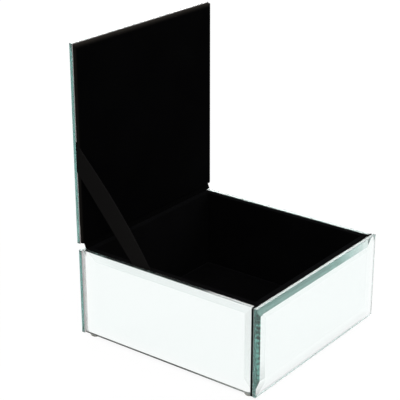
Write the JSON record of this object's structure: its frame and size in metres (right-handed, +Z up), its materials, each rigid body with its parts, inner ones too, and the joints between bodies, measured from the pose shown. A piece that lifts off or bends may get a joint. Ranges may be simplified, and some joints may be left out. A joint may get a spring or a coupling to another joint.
{
  "type": "mirrored glass keepsake box",
  "caption": "Square keepsake box of bevelled mirror glass, lined with black velvet, with a flat lid on a cloth hinge that stands open against a ribbon stay.",
  "frame": {"origin": "centre of the case on the surface that its feet stand on", "axes": "+X along the hinge towards the right side, -Y towards the front, +Z up along the open lid"},
  "size_m": [0.1501, 0.1569, 0.2166],
  "materials": {
    "mirror_glass": "silvered back, polished bevels with pale green edges",
    "joint_filler": "matte black sealant",
    "adhesive": "matte film",
    "card": "raw grey board",
    "velvet": "black cotton velvet with a short pile",
    "felt": "black felt",
    "hinge_cloth": "black woven tape",
    "ribbon": "black satin ribbon",
    "bumper": "clear soft plastic, glossy"
  },
  "bodies": {
    "case": {"front_mirror": "mirror_glass", "back_mirror": "mirror_glass", "left_mirror": "mirror_glass", "right_mirror": "mirror_glass", "front_joint_left": "joint_filler", "front_joint_right": "joint_filler", "front_adhesive": "adhesive", "back_adhesive": "adhesive", "left_adhesive": "adhesive", "right_adhesive": "adhesive", "front_board": "card", "back_board": "card", "left_board": "card", "right_board": "card", "base_board": "card", "front_lining": "velvet", "back_lining": "velvet", "left_lining": "velvet", "right_lining": "velvet", "floor_pad": "velvet", "base_felt": "felt", "foot_front_left": "bumper", "foot_front_right": "bumper", "foot_rear_left": "bumper", "foot_rear_right": "bumper", "hinge_case_flap": "hinge_cloth", "hinge_fold": "hinge_cloth", "ribbon_case_tab": "ribbon", "stay_ribbon": "ribbon"},
    "lid": {"lid_mirror": "mirror_glass", "lid_adhesive": "adhesive", "lid_board": "card", "lid_velvet": "velvet", "hinge_lid_flap": "hinge_cloth", "ribbon_lid_tab": "ribbon"}
  },
  "joints": [
    {"name": "lid_hinge", "type": "hinge", "parent": "case", "child": "lid", "pos_m": [0, 0.0734, 0.0683], "axis": [1, 0, 0], "range_deg": [0, 90], "deforming": ["hinge_fold", "stay_ribbon"]}
  ]
}
